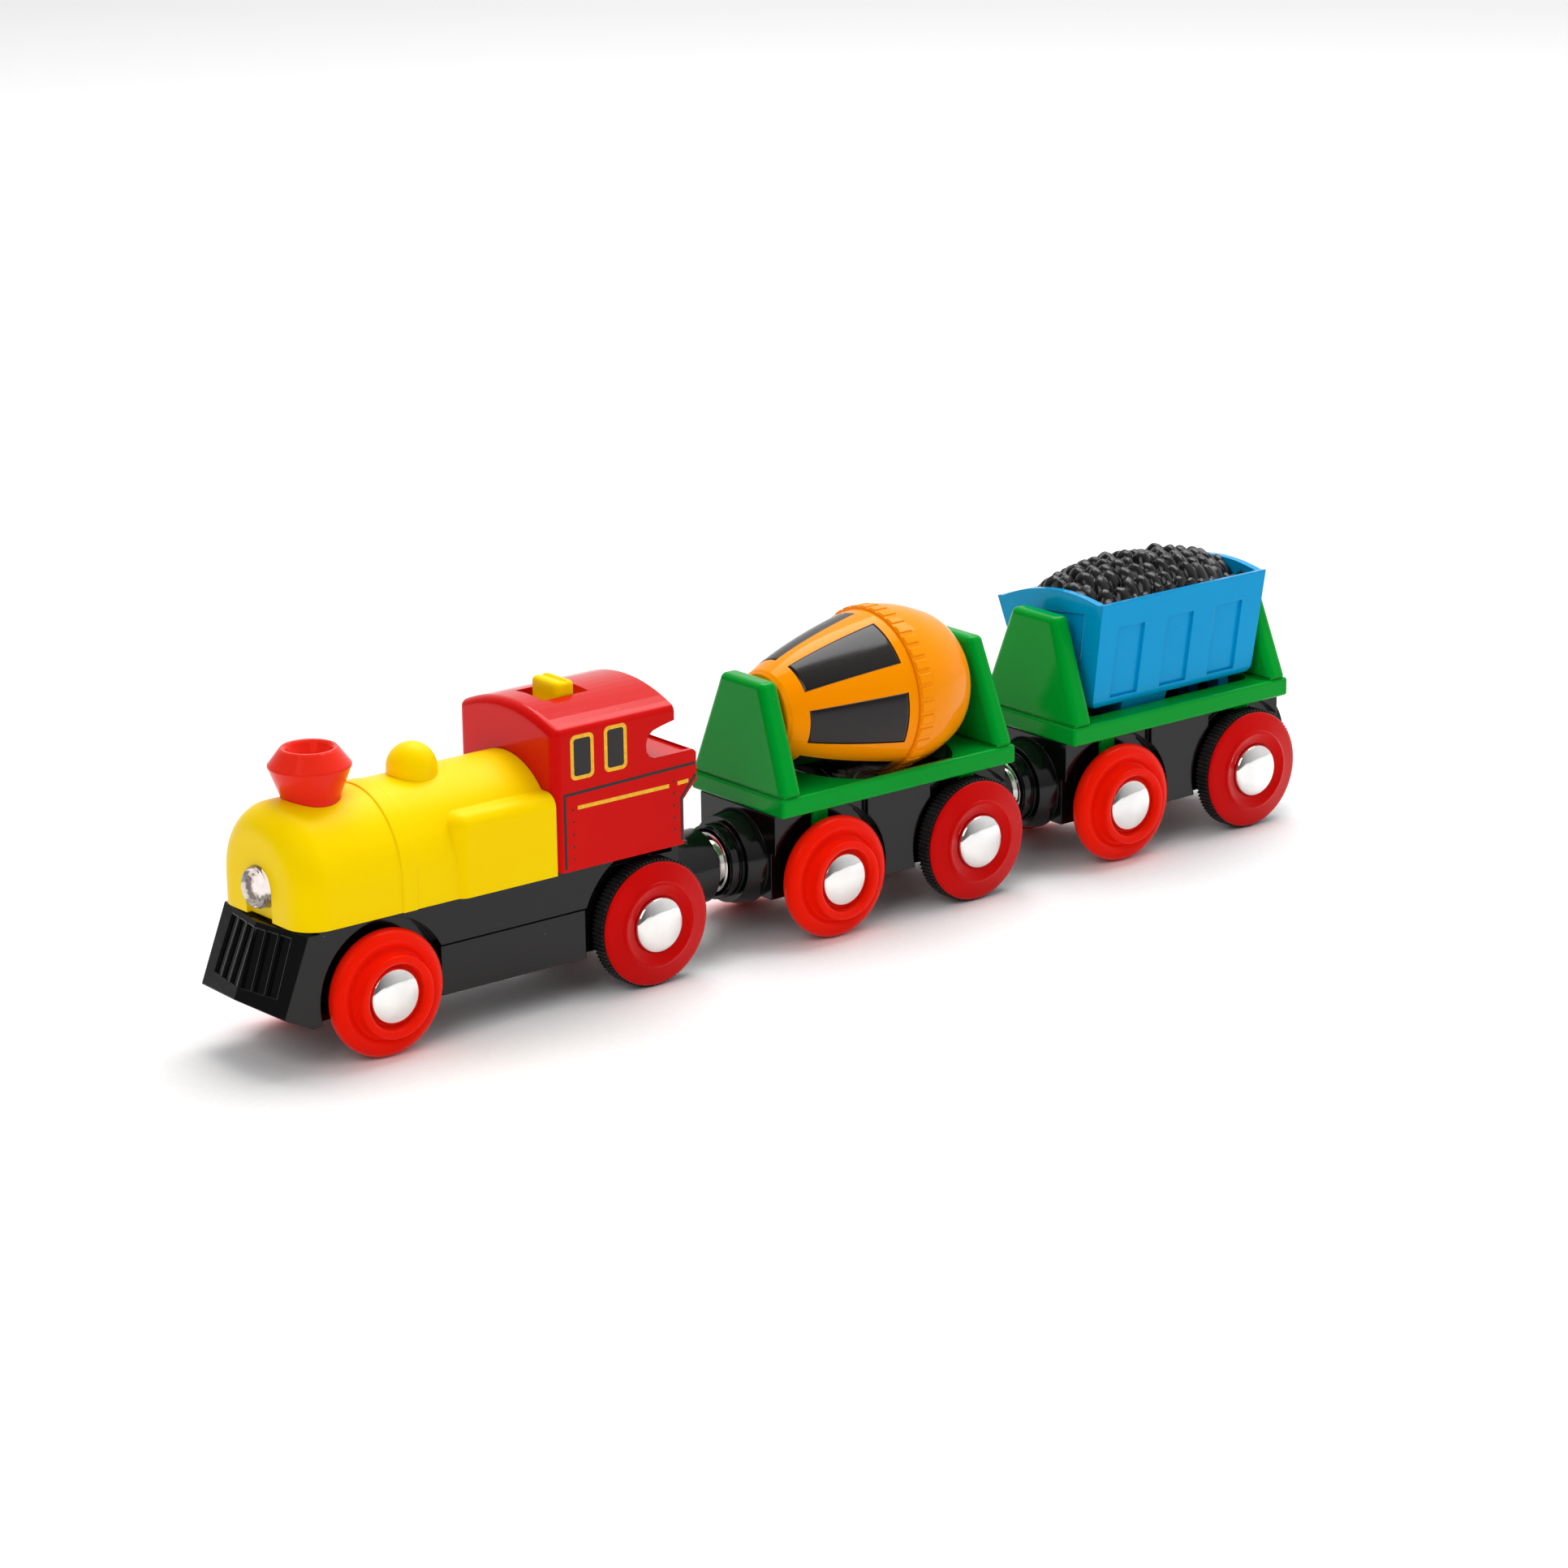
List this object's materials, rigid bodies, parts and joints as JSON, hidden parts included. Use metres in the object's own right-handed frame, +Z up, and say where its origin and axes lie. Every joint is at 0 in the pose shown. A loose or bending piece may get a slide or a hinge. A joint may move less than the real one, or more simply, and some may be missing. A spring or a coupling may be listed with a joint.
{
  "type": "toy train",
  "caption": "battery toy train: steam-style locomotive pulling a wagon with a turning drum and a wagon with a rocking coal bucket, magnetic couplings",
  "frame": {"origin": "on the floor under the middle of the train's overall box, on its centre line", "axes": "+X forward along the train towards the cowcatcher, +Y to the train's left, +Z up"},
  "size_m": [0.2284, 0.0328, 0.0531],
  "materials": {
    "black_plastic": "gloss",
    "yellow_plastic": "satin",
    "red_plastic": "gloss",
    "wheel_red": "gloss",
    "dark_red": "gloss",
    "green_plastic": "gloss",
    "blue_plastic": "gloss",
    "orange_plastic": "gloss",
    "coal": "satin",
    "tyre_rubber": "matte",
    "cap_steel": "polished",
    "magnet_steel": "polished",
    "axle_steel": "satin",
    "lens_clear": "gloss",
    "gear_white": "satin",
    "motor_steel": "satin",
    "contact_brass": "satin",
    "board_green": "satin",
    "cell_sleeve": "gloss"
  },
  "bodies": {
    "loco": {"loco_frame": "black_plastic", "loco_cover": "black_plastic", "loco_boiler": "yellow_plastic", "loco_chimney": "wheel_red", "loco_cab": "red_plastic", "loco_lens": "lens_clear", "loco_bulb": "lens_clear", "loco_switch_board": "board_green", "loco_cell": "cell_sleeve", "loco_contacts": "contact_brass", "loco_board": "board_green", "loco_motor": "motor_steel", "loco_idler_pin": "axle_steel", "loco_screw": "axle_steel"},
    "loco_wheelset_front": {"loco_axle_front": "axle_steel", "loco_wheels_front": "wheel_red", "loco_caps_front": "cap_steel"},
    "loco_wheelset_rear": {"loco_axle_rear": "axle_steel", "loco_wheels_rear": "dark_red", "loco_tyres": "tyre_rubber", "loco_caps_rear": "cap_steel", "loco_axle_gear": "gear_white"},
    "loco_slider": {"loco_switch": "yellow_plastic", "loco_switch_contact": "contact_brass"},
    "loco_motor_shaft": {"loco_pinion": "contact_brass"},
    "loco_idler_gears": {"loco_idler": "gear_white"},
    "loco_coupler": {"loco_magnet": "magnet_steel"},
    "mixer_coupler_front": {"mixer_magnet_front": "magnet_steel"},
    "mixer": {"mixer_frame": "black_plastic", "mixer_deck": "green_plastic", "mixer_dish": "black_plastic", "mixer_pins": "axle_steel", "mixer_roller_pin": "axle_steel"},
    "mixer_wheelset_front": {"mixer_axle_front": "axle_steel", "mixer_wheels_front": "wheel_red", "mixer_caps_front": "cap_steel"},
    "mixer_wheelset_rear": {"mixer_axle_rear": "axle_steel", "mixer_wheels_rear": "dark_red", "mixer_tyres": "tyre_rubber", "mixer_caps_rear": "cap_steel", "mixer_axle_gear": "gear_white"},
    "mixer_worm": {"mixer_roller": "gear_white"},
    "mixer_drum": {"mixer_drum_front": "orange_plastic", "mixer_drum_rear": "orange_plastic"},
    "mixer_coupler_rear": {"mixer_magnet_rear": "magnet_steel"},
    "tipper_coupler_front": {"tipper_magnet_front": "magnet_steel"},
    "tipper": {"tipper_frame": "black_plastic", "tipper_deck": "green_plastic", "tipper_pins": "axle_steel"},
    "tipper_wheelset_front": {"tipper_axle_front": "axle_steel", "tipper_wheels_front": "wheel_red", "tipper_caps_front": "cap_steel"},
    "tipper_wheelset_rear": {"tipper_axle_rear": "axle_steel", "tipper_wheels_rear": "dark_red", "tipper_tyres": "tyre_rubber", "tipper_caps_rear": "cap_steel", "tipper_cams": "gear_white"},
    "tipper_body": {"tipper_bucket": "blue_plastic", "tipper_load": "coal"},
    "tipper_coupler_rear": {"tipper_magnet_rear": "magnet_steel"}
  },
  "joints": [
    {"name": "loco_front_axle", "type": "hinge", "parent": "loco", "child": "loco_wheelset_front", "pos_m": [0.0932, 0, 0.0108], "axis": [0, 1, 0], "continuous": true},
    {"name": "loco_rear_axle", "type": "hinge", "parent": "loco", "child": "loco_wheelset_rear", "pos_m": [0.0393, 0, 0.01105], "axis": [0, 1, 0], "continuous": true},
    {"name": "loco_idler_turn", "type": "hinge", "parent": "loco", "child": "loco_idler_gears", "pos_m": [0.0433, 0, 0.0196], "axis": [0, 1, 0], "continuous": true},
    {"name": "loco_motor_turn", "type": "hinge", "parent": "loco", "child": "loco_motor_shaft", "pos_m": [0.0423, 0, 0.02885], "axis": [0, 1, 0], "continuous": true},
    {"name": "loco_switch_slide", "type": "slide", "parent": "loco", "child": "loco_slider", "axis": [1, 0, 0], "range_m": [-0.0021, 0.0027]},
    {"name": "loco_coupler_swivel", "type": "hinge", "parent": "loco", "child": "loco_coupler", "pos_m": [0.0238, 0, 0.014], "axis": [0, 0, 1], "range_deg": [-8, 8]},
    {"name": "front_coupling_pull", "type": "slide", "parent": "loco_coupler", "child": "mixer_coupler_front", "axis": [-1, 0, 0], "range_m": [0, 0.012]},
    {"name": "mixer_front_swivel", "type": "hinge", "parent": "mixer_coupler_front", "child": "mixer", "pos_m": [0.0136, 0, 0.014], "axis": [0, 0, 1], "range_deg": [-8, 8]},
    {"name": "mixer_front_axle", "type": "hinge", "parent": "mixer", "child": "mixer_wheelset_front", "pos_m": [-0.0003, 0, 0.0108], "axis": [0, 1, 0], "continuous": true},
    {"name": "mixer_rear_axle", "type": "hinge", "parent": "mixer", "child": "mixer_wheelset_rear", "pos_m": [-0.03163, 0, 0.01105], "axis": [0, 1, 0], "continuous": true},
    {"name": "mixer_worm_turn", "type": "hinge", "parent": "mixer", "child": "mixer_worm", "pos_m": [-0.0202, 0, 0.0169], "axis": [0, 1, 0], "continuous": true},
    {"name": "mixer_drum_turn", "type": "hinge", "parent": "mixer", "child": "mixer_drum", "pos_m": [-0.0176, 0, 0.0381], "axis": [1, 0, 0], "continuous": true},
    {"name": "mixer_rear_swivel", "type": "hinge", "parent": "mixer", "child": "mixer_coupler_rear", "pos_m": [-0.0427, 0, 0.014], "axis": [0, 0, 1], "range_deg": [-8, 8]},
    {"name": "rear_coupling_pull", "type": "slide", "parent": "mixer_coupler_rear", "child": "tipper_coupler_front", "axis": [-1, 0, 0], "range_m": [0, 0.012]},
    {"name": "tipper_front_swivel", "type": "hinge", "parent": "tipper_coupler_front", "child": "tipper", "pos_m": [-0.0529, 0, 0.014], "axis": [0, 0, 1], "range_deg": [-8, 8]},
    {"name": "tipper_front_axle", "type": "hinge", "parent": "tipper", "child": "tipper_wheelset_front", "pos_m": [-0.0668, 0, 0.0108], "axis": [0, 1, 0], "continuous": true},
    {"name": "tipper_rear_axle", "type": "hinge", "parent": "tipper", "child": "tipper_wheelset_rear", "pos_m": [-0.09813, 0, 0.01105], "axis": [0, 1, 0], "continuous": true},
    {"name": "tipper_bucket_rock", "type": "hinge", "parent": "tipper", "child": "tipper_body", "pos_m": [-0.0823, 0, 0.034], "axis": [1, 0, 0], "range_deg": [-14.4, 0.8]},
    {"name": "tipper_rear_swivel", "type": "hinge", "parent": "tipper", "child": "tipper_coupler_rear", "pos_m": [-0.1092, 0, 0.014], "axis": [0, 0, 1], "range_deg": [-8, 8]}
  ],
  "couplings": [
    {"joint": "loco_idler_turn", "follows": "loco_rear_axle", "ratio": -2.1667},
    {"joint": "loco_motor_turn", "follows": "loco_rear_axle", "ratio": 6.0667},
    {"joint": "mixer_worm_turn", "follows": "mixer_rear_axle", "ratio": -1},
    {"joint": "mixer_drum_turn", "follows": "mixer_rear_axle", "ratio": 0.10526}
  ]
}
